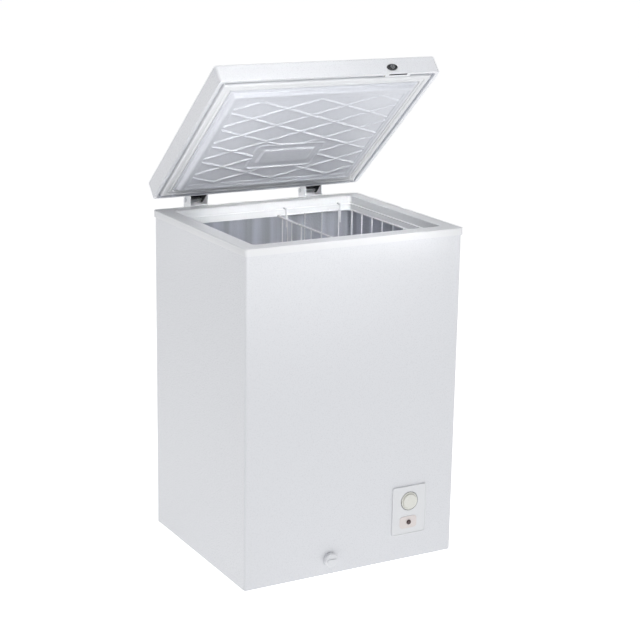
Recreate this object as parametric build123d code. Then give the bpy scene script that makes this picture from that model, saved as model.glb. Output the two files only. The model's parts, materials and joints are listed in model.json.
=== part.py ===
from build123d import *
import os
from math import cos, radians, sin

# A small chest freezer with its lid ajar. Millimetres, +Z up, front towards -Y, right towards +X.
# Everything is drawn about the cabinet's centre line with the lid shut. The lid's pieces are then
# swung open, and every piece is moved so that the origin is the centre of the whole footprint.

# ---- Cabinet ----
cabinet_width = 550.0
cabinet_depth = 480.0
cabinet_bottom = 10.0
rim_top = 795.0
sheet = 0.6
corner_radius = 5.0
half_width = cabinet_width / 2
half_depth = cabinet_depth / 2

# ---- Top frame: flat rim, outer lip, inner wall, ledge and skirt ----
lip_overhang = 3.2
lip_height = 16.4
lip_gap = 0.5
frame_wall = 2.5
mouth_half_x = 240.0
mouth_half_y = 205.0
mouth_radius = 10.0
ledge_top = 777.0
ledge_width = 6.0
skirt_bottom = 761.0
skirt_wall = 1.5
skirt_radius = 8.0

# ---- Tub and the raised floor over the compressor ----
tub_half_x = 236.0
tub_half_y = 201.0
tub_wall = 0.8
tub_radius = 10.0
tub_floor = 62.0
tub_top = 774.0
step_x = 62.0
step_top = 250.0
bay_left = 76.0
bay_top = 225.0
pan_sheet = 0.8
pan_level = 10.6
foot_x, foot_front, foot_back = 240.0, -194.0, 190.0

# ---- Lid ----
lid_width = 559.5
lid_front = -242.6
lid_back = 240.0
lid_thickness = 43.6
lid_gap = 2.0
lid_radius = 8.0
lid_open_angle = 41.0
lid_bottom = rim_top + lid_gap
lid_top = lid_bottom + lid_thickness
seal_outer_x = 263.0
seal_outer_y = 228.0
seal_width = 22.0
seal_corner = 4.0
seal_face = rim_top + 0.3
seal_root = 805.4
liner_sheet = 1.6
channel_gap = 7.0
panel_level = 788.5
plug_half_x = 239.5
plug_half_y = 204.5
plug_ledge = 5.0
ledge_level = 795.4
plug_taper = 32.5
plug_corner = 8.0
ridge_drop = 2.5
dish_half_x = 218.5
dish_half_y = 183.0
dish_taper = 55.0
flange_inset = 3.0
rib_drop = 2.0
rib_width = 5.0
rib_pitch_x = 76.0
rib_pitch_y = 66.9
rib_phase = 32.5
pad_width = 179.0
pad_depth = 102.0
pad_centre_y = 66.0
plate_width = 134.0
plate_depth = 55.0

# ---- Hinges ----
hinge_x = 157.0
pivot_y = 272.0
pivot_z = 804.5
pin_radius = 3.0
running_gap = 0.05
spring_outer = 5.5
spring_wire = 0.9
cheek_half = 23.5
cheek_sheet = 2.0
hinge_back = 283.2
hinge_top = 819.0
hinge_foot = 700.0
ear_half = 20.0

# ---- Lock ----
lock_x = 156.0
lock_z = lid_bottom + 16.5
lock_boss = 7.2
cam_front = -238.4
cam_sheet = 2.0
cam_reach = 36.0
cam_slot_left = 145.0
cam_slot_right = 193.0
lock_bay_left = 134.0
lock_bay_right = 204.0

# ---- Control panel ----
panel_left, panel_right = 109.0, 200.5
panel_low, panel_high = 70.5, 190.0
knob_x, knob_z = 154.8, 153.0
knob_radius, cap_radius = 21.2, 17.3
recess_radius = 23.3
lamp_x, lamp_z = 153.8, 101.0
badge_x, badge_z = 152.6, 101.0
badge_width, badge_height = 46.0, 29.0

# ---- Drain ----
drain_x, drain_z = -56.0, 46.0
drain_cap_radius = 16.4
drain_y = -176.0
drain_bore = 6.0
drain_bend = 14.0
drain_plug_reach = 6.5

# ---- Basket ----
basket_x = 126.0
basket_half_x = 101.5
basket_half_y = 193.5
basket_rim_z = 764.0
basket_floor_z = 574.0
rim_wire, thin_wire, hook_wire = 2.5, 1.5, 2.0
wire_pitch = 48.0

# ---- Origin ----
front_extreme = -252.0
origin_y = (front_extreme + hinge_back) / 2


def block(low, high):
    """A box from its lowest corner to its highest."""
    size = [b - a for a, b in zip(low, high)]
    middle = [(a + b) / 2 for a, b in zip(low, high)]
    return Pos(*middle) * Box(*size)


def slab(half_x, half_y, radius, low_z, high_z, middle_y=0.0):
    """An upright slab with rounded vertical edges."""
    outline = Pos(0, middle_y, low_z) * RectangleRounded(2 * half_x, 2 * half_y, radius)
    return extrude(outline, high_z - low_z)


def rod(point, direction, radius, length):
    """A cylinder from a point along a direction."""
    return extrude(Plane(origin=point, z_dir=direction) * Circle(radius), length)


def pipe(points, bend, radius):
    """A round bar along straight runs joined by bends."""
    route = FilletPolyline(*points, radius=bend)
    return sweep(Plane(origin=route @ 0, z_dir=route % 0) * Circle(radius), path=route)


def group(pieces):
    """Several separate solids kept as one part."""
    return Compound([solid for piece in pieces for solid in piece.solids()])


def both_hinges(make):
    return [make(-hinge_x), make(hinge_x)]


# ---- Cabinet shell ----
def wrap_inside(low_z, high_z):
    """The space inside the folded steel sheet."""
    return slab(half_width - sheet, half_depth - sheet, corner_radius - sheet, low_z, high_z)


def outer_wrap():
    top = rim_top - frame_wall - 2.0
    wrap = slab(half_width, half_depth, corner_radius, cabinet_bottom, top)
    wrap -= wrap_inside(cabinet_bottom + sheet, top)
    wrap -= block((-262, half_depth - 20, 0), (262, half_depth + 1, top + 1))
    wrap -= block((-260, -half_depth + 15, 0), (260, half_depth + 1, 20))
    wrap -= block(
        (panel_left + 5, -half_depth - 1, panel_low + 5), (panel_right - 5, -half_depth + 2, panel_high - 5)
    )
    wrap -= rod((drain_x, -half_depth - 1, drain_z), (0, 1, 0), 8.3, 3)
    wrap -= block((half_width - 2, 45, 62), (half_width + 1, 195, 138))
    return wrap


def rear_panel():
    y0, y1 = half_depth - 2 * sheet, half_depth - sheet
    panel = block((-269, y0, 12.2), (269, y1, 788))
    panel -= block((86, y0 - 1, 16), (254, y1 + 1, 212))
    for x, z in hinge_screw_places():
        panel -= rod((x, y0 - 1, z), (0, 1, 0), 2.2, 3)
    for x, z in cover_screw_places():
        panel -= rod((x, y0 - 1, z), (0, 1, 0), 1.9, 3)
    return panel


def base_pan():
    left, right = -half_width + sheet, half_width - sheet
    front, back = -half_depth + sheet, half_depth - 2 * sheet
    pan = block((left, front, pan_level), (bay_left, back, pan_level + pan_sheet))
    pan += block((bay_left - pan_sheet, front, pan_level), (bay_left, back, bay_top))
    pan += block((bay_left - pan_sheet, front, bay_top - pan_sheet), (right, back, bay_top))
    pan &= wrap_inside(0, rim_top)
    for x, y in foot_places():
        if x < bay_left:
            pan -= rod((x, y, 0), (0, 0, 1), 4.2, 20)
    for x, y, radius in bay_pipe_places():
        pan -= rod((x, y, bay_top - 5), (0, 0, 1), radius + 0.4, 10)
    return pan


def compressor_tray():
    """The louvred steel floor under the compressor."""
    front, back = -half_depth + sheet, half_depth - 2 * sheet
    tray = block((bay_left, front, pan_level), (half_width - sheet, back, pan_level + 1.5))
    tray &= wrap_inside(0, rim_top)
    for i in range(7):
        y = -200 + 32 * i
        tray -= block((100, y, 0), (190, y + 8, 20))
    for x, y in foot_places():
        if x > bay_left:
            tray -= rod((x, y, 0), (0, 0, 1), 4.2, 20)
    for x, y in mount_places():
        tray -= rod((x, y, 0), (0, 0, 1), 3.2, 20)
    return tray


def cabinet_foam():
    """Foam that fills the space between the steel outside and the tub."""
    left = half_width - sheet
    low, high = pan_level + pan_sheet, ledge_top - 2.0
    foam = slab(left, half_depth - 2 * sheet, corner_radius, low, high)
    foam -= block((bay_left - pan_sheet, -half_depth, 0), (half_width, half_depth, bay_top))
    foam -= tub_block(tub_wall, high + 1)
    skirt = skirt_wall + 0.6
    pocket_x, pocket_y = mouth_half_x - ledge_width + skirt, mouth_half_y - ledge_width + skirt
    foam -= slab(pocket_x, pocket_y, skirt_radius + skirt, skirt_bottom - 6, high + 1)
    foam -= coil_grooves()
    foam -= drain_pipe_outline()
    foam -= rod((knob_x + 55, -120, bay_top - 1), (0, 0, 1), 1.6, 92)
    for x, y in foot_places():
        foam -= rod((x, y, 0), (0, 0, 1), 4.2, 21)
    for x, z in hinge_screw_places():
        foam -= rod((x, half_depth - 16, z), (0, 1, 0), 2.2, 20)
    return foam - block((140, -half_depth, 768), (197, -230, high + 1))


def tub_block(wall, top):
    """The tub's outside, or with no wall its inside."""
    half_x, half_y, radius = tub_half_x + wall, tub_half_y + wall, tub_radius + wall
    tub = slab(half_x, half_y, radius, step_top - wall, top)
    low_part = slab(half_x, half_y, radius, tub_floor - wall, step_top)
    low_part -= block((step_x + wall, -half_y - 1, 0), (half_x + 1, half_y + 1, step_top + 1))
    return tub + low_part


def tub_sheet():
    return tub_block(tub_wall, tub_top) - tub_block(0, tub_top + 1)


def tub_well():
    """Everything inside the tub's four walls, from below its floor to above its mouth."""
    return slab(tub_half_x, tub_half_y, tub_radius, 0, tub_top + 2)


def tub_liner():
    """The tub's four walls, folded from one embossed sheet."""
    return tub_sheet() - tub_well()


def tub_bottom():
    """The tub's floor, riser and step, folded from a second sheet."""
    bottom = tub_sheet() & tub_well()
    return bottom - rod((drain_x, drain_y, tub_floor - 5), (0, 0, 1), 8.2, 10)


def top_frame():
    lip_x, lip_y = half_width + lip_overhang, half_depth + lip_overhang
    under = rim_top - frame_wall
    frame = slab(lip_x, lip_y, 8, rim_top - lip_height, rim_top)
    frame -= slab(half_width + lip_gap, half_depth + lip_gap, 5.5, rim_top - lip_height - 1, under)
    frame -= slab(mouth_half_x, mouth_half_y, mouth_radius, under - 1, rim_top + 1)
    wall = slab(mouth_half_x + 2, mouth_half_y + 2, mouth_radius + 2, ledge_top - 2, under)
    frame += wall - slab(mouth_half_x, mouth_half_y, mouth_radius, ledge_top, rim_top)
    skirt_x, skirt_y = mouth_half_x - ledge_width, mouth_half_y - ledge_width
    outer_radius = skirt_radius + skirt_wall
    frame += slab(skirt_x + skirt_wall, skirt_y + skirt_wall, outer_radius, skirt_bottom, ledge_top - 2)
    frame -= slab(skirt_x, skirt_y, skirt_radius, skirt_bottom - 1, ledge_top + 0.5)
    top_edges = frame.edges().filter_by_position(Axis.Z, rim_top - 0.01, rim_top + 0.01)
    frame = fillet(top_edges, 1.8)
    return frame - block((150, -240.5, 780), (cam_slot_right, -235.5, rim_top + 1))


def lock_keeper():
    """The slotted steel plate under the rim that the lock's cam hooks beneath."""
    under = rim_top - frame_wall
    plate = block((136, -239.2, under - 1.4), (201, -224, under))
    return plate - block((152, -240, under - 3), (cam_slot_right, -234.5, under + 1))


# ---- Feet ----
def foot_places():
    return [(x, y) for x in (-foot_x, foot_x) for y in (foot_front, foot_back)]


def feet():
    made = []
    for x, y in foot_places():
        foot = Pos(x, y, pan_level / 2) * Cone(20, 17, pan_level)
        foot -= Pos(x, y, 0) * Cylinder(12, 3)
        made.append(foot + rod((x, y, pan_level), (0, 0, 1), 4, 9))
    return group(made)


# ---- Refrigerant circuit ----
def evaporator_tube(radius):
    x, y = tub_half_x + 6, tub_half_y + 6
    loops = []
    for i in range(7):
        z = 740 - 73 * i
        loop = RectangleRounded(2 * x, 2 * y, tub_radius + 6).wire()
        loop = Pos(0, 0, z) * loop
        loops.append(sweep(Plane(origin=loop @ 0, z_dir=loop % 0) * Circle(radius), path=loop))
        if i < 6:
            side = -1 if i % 2 else 1
            loops.append(rod((side * 150, y, z - 73 + radius * 0.2), (0, 0, 1), radius, 73 - radius * 0.4))
    loops.append(rod((215, y, bay_top - 8), (0, 0, 1), radius, 740 - 73 * 6 - bay_top + 8))
    coil = loops[0]
    for piece in loops[1:]:
        coil += piece
    return coil


def coil_grooves():
    """Square grooves in the foam that the two coils lie in."""
    half_x, half_y = tub_half_x + tub_wall, tub_half_y + tub_wall
    grooves = []
    for i in range(7):
        z = 740 - 73 * i
        loop = slab(half_x + 10, half_y + 10, tub_radius + 10, z - 4.5, z + 4.5)
        grooves.append(loop - slab(half_x - 1, half_y - 1, tub_radius, z - 5, z + 5))
    for x in (-150, 150):
        grooves.append(block((x - 4.5, half_y - 1, 300), (x + 4.5, half_y + 10, 742)))
    grooves.append(block((215 - 4.5, half_y - 1, bay_top - 1), (215 + 4.5, half_y + 10, 305)))
    wall = half_width - sheet
    for side, low in ((-1, 60), (1, bay_top - 1)):
        near, far = sorted((side * (wall - 6), side * (wall + 1)))
        grooves.append(block((near, -215, low), (far, 215, 760)))
    pocket = grooves[0]
    for groove in grooves[1:]:
        pocket += groove
    return pocket


def condenser_tube(radius):
    """A zigzag of tube behind each side wall."""
    coils = []
    for side, low in ((-1, 90), (1, 260)):
        x = side * (half_width - sheet - 2.9)
        points = [(x, 205, low - (40 if side > 0 else 20))]
        z = low
        forward = True
        while z < 745:
            ends = (205, -205) if forward else (-205, 205)
            points += [(x, ends[0], z), (x, ends[1], z)]
            forward = not forward
            z += 80
        points.append((x, points[-1][1], points[-1][2] + 20))
        coils.append(pipe(points, 9, radius))
    return group(coils)


def bay_pipe_places():
    """Where tubes pass through the roof of the compressor bay: x, y and tube radius."""
    return [
        (215, tub_half_y + 6, 4.0),
        (half_width - sheet - 2.9, 205, 2.4),
        (knob_x + 55, -120, 1.2),
    ]


compressor_x, compressor_y = 170.0, 110.0
shell_low, shell_high = 35.0, 178.0


def compressor_body():
    """A welded steel can: two rounded cups and the seam between them."""
    can = extrude(Pos(compressor_x, compressor_y, shell_low) * Ellipse(62, 72), shell_high - shell_low)
    ends = can.edges().filter_by(GeomType.LINE, reverse=True)
    can = fillet(ends, 22)
    seam = extrude(Pos(compressor_x, compressor_y, 112) * Ellipse(65, 75), 4)
    return can + seam


def mount_places():
    return [(compressor_x + i * 42, compressor_y + j * 84) for i in (-1, 1) for j in (-1, 1)]


def compressor_mount():
    plate = block(
        (compressor_x - 52, compressor_y - 96, 32.5), (compressor_x + 52, compressor_y + 96, shell_low)
    )
    for x, y in mount_places():
        plate -= rod((x, y, 30), (0, 0, 1), 5.2, 10)
    return plate


def compressor_grommets():
    made = []
    for x, y in mount_places():
        grommet = rod((x, y, 12.1), (0, 0, 1), 9, 20.4) + rod((x, y, 32.5), (0, 0, 1), 5, 4)
        made.append(grommet - rod((x, y, 10), (0, 0, 1), 3.1, 30))
    return group(made)


def compressor_bolts():
    made = []
    for x, y in mount_places():
        bolt = rod((x, y, 9.0), (0, 0, 1), 3, 33)
        made.append(bolt + rod((x, y, 36.6), (0, 0, 1), 7, 3.4) + rod((x, y, 7.6), (0, 0, 1), 5.5, 3.0))
    return group(made)


def terminal_cover():
    cover = block((148, 12, 84), (192, 52, 144))
    return cover - compressor_body()


def start_capacitor():
    return rod((112, -40, 62), (0, 1, 0), 15, 60)


def suction_pipe():
    y = tub_half_y + 6
    low = (195, compressor_y + 10, shell_high)
    points = [low, (195, compressor_y + 10, 196), (215, compressor_y + 40, 200), (215, y, 203)]
    points.append((215, y, bay_top - 8))
    return pipe(points, 6, 4)


def discharge_pipe():
    x = half_width - sheet - 2.9
    points = [
        (150, compressor_y + 20, shell_high),
        (150, compressor_y + 20, 208),
        (150, 222, 208),
        (250, 222, 208),
        (x, 205, 212),
        (x, 205, 220),
    ]
    return pipe(points, 3.5, 2.4)


def filter_drier():
    """A copper can that dries and filters the refrigerant."""
    can = rod((104, -40, 170), (0, 0.2, 1), 9, 46)
    neck_low = rod((104, -43, 155), (0, 0.2, 1), 4, 20)
    return can + neck_low


def capillary_tube():
    turns = Helix(pitch=4, height=20, radius=16)
    coil = sweep(Plane(origin=turns @ 0, z_dir=turns % 0) * Circle(1.2), path=turns)
    return Pos(110, -90, 150) * coil


# ---- Rear cover of the compressor bay ----
def cover_screw_places():
    return [(x, z) for x in (82.5, 257.5) for z in (24, 114, 204)]


def compressor_cover():
    y0 = half_depth - sheet
    cover = block((79, y0, 14), (261, y0 + 1.2, 216))
    for row in range(13):
        z = 40 + 13 * row
        for x in (100, 176):
            cover += block((x - 2, y0 + 1.2, z + 4), (x + 66, y0 + 3.2, z + 5.5))
            cover -= block((x, y0 - 1, z), (x + 64, y0 + 4, z + 4))
    cover -= rod((96, y0 - 1, 26), (0, 1, 0), 6.2, 4)
    for x, z in cover_screw_places():
        cover -= rod((x, y0 - 1, z), (0, 1, 0), 1.9, 4)
    return cover


def cover_screws():
    y0 = half_depth + sheet
    made = []
    for x, z in cover_screw_places():
        head = rod((x, y0, z), (0, 1, 0), 3.6, 2)
        slot = block((x - 2.5, y0 + 1.2, z - 0.4), (x + 2.5, y0 + 3, z + 0.4))
        made.append(head - slot + rod((x, y0 - 3.6, z), (0, 1, 0), 1.7, 3.6))
    return group(made)


def cord_gland():
    """A rubber grommet in the cover, where the supply lead leaves."""
    y0 = half_depth - sheet
    gland = rod((96, y0 - 2.2, 26), (0, 1, 0), 9, 2.0)
    gland += rod((96, y0 - 0.3, 26), (0, 1, 0), 6, 2.0)
    gland += rod((96, y0 + 1.3, 26), (0, 1, 0), 9, 4.0)
    return gland - rod((96, y0 - 5, 26), (0, 1, 0), 3.6, 12)


def side_vent():
    """A slatted air grille in the right side wall."""
    x0 = half_width
    vent = block((x0, 41, 58), (x0 + 1.6, 199, 142))
    for row in range(8):
        z = 66 + 9 * row
        vent -= block((x0 - 1, 50, z), (x0 + 3, 116, z + 4))
        vent -= block((x0 - 1, 124, z), (x0 + 3, 190, z + 4))
    for y in (47, 193):
        vent += block((x0 - 8, y - 1, 64), (x0, y + 1, 72)) + block((x0 - 8, y - 1, 128), (x0, y + 1, 136))
    return vent


# ---- Control panel ----
def control_bezel():
    front, face = -half_depth, -half_depth - 2.6
    middle_x, middle_z = (panel_left + panel_right) / 2, (panel_low + panel_high) / 2
    width, height = panel_right - panel_left, panel_high - panel_low

    def sheet_of(inset, radius, depth_from, depth_to):
        outline = Plane(origin=(middle_x, depth_from, middle_z), x_dir=(1, 0, 0), z_dir=(0, -1, 0))
        shape = outline * RectangleRounded(width - 2 * inset, height - 2 * inset, radius)
        return extrude(shape, depth_from - depth_to)

    bezel = sheet_of(0, 5, front, face - 0.8) - sheet_of(2.4, 3, face, face - 2)
    bezel += sheet_of(6.2, 3, front + 12, front) - sheet_of(7.8, 2, front + 13, front)
    bezel += rod((knob_x, front, knob_z), (0, 1, 0), recess_radius + 2.3, 4.2)
    bezel -= rod((knob_x, face - 2, knob_z), (0, 1, 0), recess_radius, 5)
    moat = rod((knob_x, front - 0.5, knob_z), (0, 1, 0), recess_radius, 3.7)
    bezel -= moat - rod((knob_x, front - 0.5, knob_z), (0, 1, 0), knob_radius - 0.8, 3.7)
    bezel -= rod((knob_x, front - 1, knob_z), (0, 1, 0), 4.2, 8)
    return bezel - rod((lamp_x, face - 2, lamp_z), (0, 1, 0), 5.2, 8)


def thermostat_knob():
    """A low skirt, a groove and a round cap with a pointer line."""
    back = -half_depth + 0.1
    skirt_depth, cap_depth = 3.4, 3.2
    face = back - skirt_depth - cap_depth
    knob = rod((knob_x, back, knob_z), (0, -1, 0), knob_radius, skirt_depth)
    knob -= rod((knob_x, back - skirt_depth + 1.2, knob_z), (0, -1, 0), cap_radius + 1.0, 2)
    cap = rod((knob_x, back - skirt_depth + 1.2, knob_z), (0, -1, 0), cap_radius, cap_depth + 1.2)
    front_edge = cap.edges().filter_by_position(Axis.Y, face - 0.1, face + 0.1)
    knob += fillet(front_edge, 1.4)
    knob -= block((knob_x - 0.8, face - 1, knob_z + 8), (knob_x + 0.8, face + 0.6, knob_z + 16.5))
    return knob - rod((knob_x, back + 1, knob_z), (0, -1, 0), 3 + running_gap, 6.2)


def thermostat_shaft():
    return rod((knob_x, -244.9, knob_z), (0, 1, 0), 3, 31.4)


def thermostat_body():
    body = block((knob_x - 19, -235, knob_z - 16), (knob_x + 19, -206, knob_z + 16))
    body -= rod((knob_x, -236, knob_z), (0, 1, 0), 3 + running_gap, 24)
    body += block((knob_x - 25, -235, knob_z - 5), (knob_x - 19, -233, knob_z + 5))
    return body + block((knob_x + 19, -235, knob_z - 5), (knob_x + 25, -233, knob_z + 5))


def sensor_tube():
    """The thermostat's thin sensing tube, up into the foam beside the tub."""
    x = knob_x + 55
    points = [
        (knob_x + 10, -215, knob_z + 16),
        (knob_x + 10, -215, knob_z + 40),
        (x, -150, knob_z + 52),
        (x, -120, knob_z + 60),
        (x, -120, bay_top + 22),
    ]
    return pipe(points, 4, 1.2)


def indicator_plate():
    back = -half_depth - 2.6
    plane = Plane(origin=(badge_x, back, badge_z), x_dir=(1, 0, 0), z_dir=(0, -1, 0))
    plate = extrude(plane * RectangleRounded(badge_width, badge_height, 8), 1.0)
    return plate - rod((lamp_x, back - 3, lamp_z), (0, 1, 0), 5.2, 8)


def indicator_lens():
    back = -half_depth - 2.6
    lens = rod((lamp_x, -228, lamp_z), (0, -1, 0), 5, -back - 228)
    dome = rod((lamp_x, back - 1.0, lamp_z), (0, -1, 0), 5.8, 2.8)
    tip = dome.edges().filter_by_position(Axis.Y, back - 3.9, back - 3.7)
    return lens + rod((lamp_x, back, lamp_z), (0, -1, 0), 5, 1.0) + fillet(tip, 1.8)


def lamp_holder():
    return rod((lamp_x, -228, lamp_z), (0, 1, 0), 7, 20)


def wiring_harness():
    """The sleeved leads from the rear cover to the relay and the thermostat."""
    points = [
        (96, half_depth - 6, 26),
        (96, half_depth - 40, 26),
        (92, 60, 40),
        (92, -40, 100),
        (100, -200, 128),
        (100, -218, knob_z),
        (knob_x - 19, -218, knob_z),
    ]
    return pipe(points, 5, 3.2)


# ---- Drain ----
def drain_pipe_outline():
    """The drain pipe with its flanges, filled in."""
    end_y = -half_depth
    route = FilletPolyline(
        (drain_x, drain_y, tub_floor),
        (drain_x, drain_y, drain_z),
        (drain_x, end_y, drain_z),
        radius=drain_bend,
    )
    return sweep(Plane(origin=route @ 0, z_dir=route % 0) * Circle(8), path=route)


def drain_tube():
    end_y = -half_depth
    tube = drain_pipe_outline()
    tube += rod((drain_x, end_y, drain_z), (0, -1, 0), 15, 1.5)
    tube += rod((drain_x, end_y, drain_z), (0, -1, 0), 11, 8)
    tube += rod((drain_x, drain_y, tub_floor), (0, 0, 1), 14, 1.2)
    route = FilletPolyline(
        (drain_x, drain_y, tub_floor + 5),
        (drain_x, drain_y, drain_z),
        (drain_x, end_y - 10, drain_z),
        radius=drain_bend,
    )
    return tube - sweep(Plane(origin=route @ 0, z_dir=route % 0) * Circle(drain_bore), path=route)


def drain_cap():
    back = -half_depth - 1.8
    cap = rod((drain_x, back, drain_z), (0, -1, 0), drain_cap_radius, 8.2)
    edge = cap.edges().filter_by_position(Axis.Y, back - 8.3, back - 8.1)
    cap = fillet(edge, 2.0)
    cap -= rod((drain_x, back + 1, drain_z), (0, -1, 0), 11.3, 7.6)
    grip = block((drain_x - 12, front_extreme, drain_z - 2.5), (drain_x + 12, back - 8.2, drain_z + 2.5))
    return cap + grip


def drain_plug():
    top = tub_floor + 1.2 + 0.3
    bottom = top - drain_plug_reach
    plug = rod((drain_x, drain_y, bottom), (0, 0, 1), drain_bore - 0.4, drain_plug_reach)
    plug += rod((drain_x, drain_y, top), (0, 0, 1), 12.5, 2.5)
    pull = block((drain_x - 6, drain_y - 1.5, top + 2.5), (drain_x + 6, drain_y + 1.5, top + 10))
    pull -= rod((drain_x, drain_y - 3, top + 6), (0, 1, 0), 2.4, 6)
    return plug + pull


# ---- Hinges ----
def hinge_screw_places():
    return [
        (side * hinge_x + offset, z)
        for side in (-1, 1)
        for offset in (-cheek_half - 6, cheek_half + 6)
        for z in (716, 762)
    ]


def hinge_base(x):
    """A folded bracket on the cabinet's back: two cheeks, the web behind them and two feet."""
    seat = half_depth - sheet
    front_top = 245.5
    outline = Polyline(
        (seat, hinge_foot),
        (seat, 777),
        (front_top, 777),
        (front_top, hinge_top),
        (262, hinge_top),
        (hinge_back, 809),
        (hinge_back, hinge_foot),
        close=True,
    )
    plane = Plane(origin=(x - cheek_half, 0, 0), x_dir=(0, 1, 0), z_dir=(1, 0, 0))
    base = extrude(plane * make_face(outline), 2 * cheek_half)
    inner = cheek_half - cheek_sheet
    base -= block((x - inner, 0, 0), (x + inner, hinge_back - cheek_sheet, 900))
    base -= block((x - inner, 270, 806), (x + inner, 300, 900))
    base += block((x - cheek_half, 243.5, 779), (x + cheek_half, front_top, 797.5))
    for side in (-1, 1):
        low, high = sorted((x + side * cheek_half, x + side * (cheek_half + 13)))
        base += block((low, seat, hinge_foot), (high, seat + cheek_sheet, 776))
    base -= rod((x - 40, pivot_y, pivot_z), (1, 0, 0), pin_radius + running_gap, 80)
    for screw_x, z in hinge_screw_places():
        if abs(screw_x - x) < 50:
            base -= rod((screw_x, seat - 1, z), (0, 1, 0), 2.2, 5)
    return base


def hinge_arm(x):
    """The lid's half of a hinge: a plate on the lid's back, two ears and a roof between them."""
    ear = Polyline(
        (lid_back, 799), (pivot_y, pivot_z - 8), (pivot_y + 5.6, pivot_z - 5.6), (pivot_y + 8, pivot_z),
        (pivot_y + 5.6, pivot_z + 5.6), (pivot_y, pivot_z + 8), (lid_back, 822), close=True,
    )
    plane = Plane(origin=(x - ear_half, 0, 0), x_dir=(0, 1, 0), z_dir=(1, 0, 0))
    arm = extrude(plane * make_face(ear), 2 * ear_half)
    inner = ear_half - cheek_sheet
    roof_cut = Polyline(
        (lid_back + 2, 790), (300, 790), (300, pivot_z), (pivot_y + 4, pivot_z + 3.6),
        (pivot_y, pivot_z + 6), (lid_back + 2, 819.6), close=True,
    )
    cut_plane = Plane(origin=(x - inner, 0, 0), x_dir=(0, 1, 0), z_dir=(1, 0, 0))
    arm -= extrude(cut_plane * make_face(roof_cut), 2 * inner)
    arm += block((x - ear_half, lid_back, 799), (x + ear_half, lid_back + cheek_sheet, 835))
    arm -= rod((x - inner, pivot_y, pivot_z), (1, 0, 0), spring_outer + 0.6, 2 * inner)
    arm -= rod((x - 40, pivot_y, pivot_z), (1, 0, 0), pin_radius + running_gap, 80)
    for screw_x in (x - 11, x + 11):
        arm -= rod((screw_x, lid_back - 1, 829), (0, 1, 0), 2.2, 5)
    return arm


def hinge_pin(x):
    half = cheek_half + 0.4
    pin = rod((x - half, pivot_y, pivot_z), (1, 0, 0), pin_radius, 2 * half)
    pin += rod((x - half - 2, pivot_y, pivot_z), (1, 0, 0), 5, 2)
    return pin + rod((x + half, pivot_y, pivot_z), (1, 0, 0), 5, 2)


def hinge_spring(x):
    """A coil round the pin that takes the lid's weight."""
    turns = Helix(pitch=3.6, height=28.8, radius=spring_outer - spring_wire)
    coil = sweep(Plane(origin=turns @ 0, z_dir=turns % 0) * Circle(spring_wire), path=turns)
    return Pos(x - 14.4, pivot_y, pivot_z) * Rot(0, 90, 0) * coil


def hinge_base_screws():
    seat = half_depth - sheet + cheek_sheet
    made = []
    for x, z in hinge_screw_places():
        head = rod((x, seat, z), (0, 1, 0), 4.2, 2.4)
        slot = block((x - 3, seat + 1.4, z - 0.5), (x + 3, seat + 3, z + 0.5))
        made.append(head - slot + rod((x, seat - 14, z), (0, 1, 0), 2.0, 14))
    return group(made)


def hinge_arm_screws():
    seat = lid_back + cheek_sheet
    made = []
    for x in (-hinge_x, hinge_x):
        for offset in (-11, 11):
            screw = rod((x + offset, seat, 829), (0, 1, 0), 4.0, 2.2)
            made.append(screw + rod((x + offset, seat - 12, 829), (0, 1, 0), 2.0, 12))
    return group(made)


# ---- Lid ----
def lid_slab(inset, low_z, high_z):
    middle = (lid_front + lid_back) / 2
    half_y = (lid_back - lid_front) / 2 - inset
    radius = max(lid_radius - inset, 1.0)
    return slab(lid_width / 2 - inset, half_y, radius, low_z, high_z, middle)


def lid_screw_holes():
    return [
        rod((x + offset, lid_back - 12, 829), (0, 1, 0), 2.2, 14)
        for x in (-hinge_x, hinge_x)
        for offset in (-11, 11)
    ]


def seal_channel(wall, low_z, high_z):
    """The channel round the lid that the seal sits in, narrowed beside the lock."""
    half_x, half_y = seal_outer_x + channel_gap + wall, seal_outer_y + channel_gap + wall
    channel = slab(half_x, half_y, seal_corner + wall, low_z, high_z)
    bay_back = -(seal_outer_y + wall)
    return channel - block(
        (lock_bay_left + wall, lid_front - 1, low_z - 1), (lock_bay_right - wall, bay_back, high_z + 1)
    )


def lid_shell():
    shell = lid_slab(0, lid_bottom, lid_top)
    top_edges = shell.edges().filter_by_position(Axis.Z, lid_top - 0.01, lid_top + 0.01)
    shell = fillet(top_edges, 4)
    inside = lid_slab(sheet, lid_bottom + sheet, lid_top - sheet)
    inner_top = inside.edges().filter_by_position(Axis.Z, lid_top - sheet - 0.01, lid_top - sheet + 0.01)
    shell -= fillet(inner_top, 4 - sheet)
    shell -= seal_channel(liner_sheet, lid_bottom - 1, lid_bottom + 1)
    shell -= block((cam_slot_left, -240.5, lid_bottom - 1), (cam_slot_right, -235.5, lid_bottom + 1))
    shell -= rod((lock_x, lid_front - 1, lock_z), (0, 1, 0), lock_boss + 0.1, 3)
    for hole in lid_screw_holes():
        shell -= hole
    return shell


def plug_step(inset, low_z, high_z):
    """The broad part of the plug, whose underside is the ledge inside the seal."""
    return slab(plug_half_x - inset, plug_half_y - inset, plug_corner, low_z, high_z)


def plug_taper_block(inset, low_z, high_z):
    """The tapered part of the plug that hangs into the tub's mouth."""
    reach = plug_ledge + inset
    outline = RectangleRounded(2 * (plug_half_x - reach), 2 * (plug_half_y - reach), plug_corner)
    plane = Plane(origin=(0, 0, high_z), x_dir=(1, 0, 0), z_dir=(0, 0, -1))
    return extrude(plane * outline, high_z - low_z, taper=plug_taper)


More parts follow.
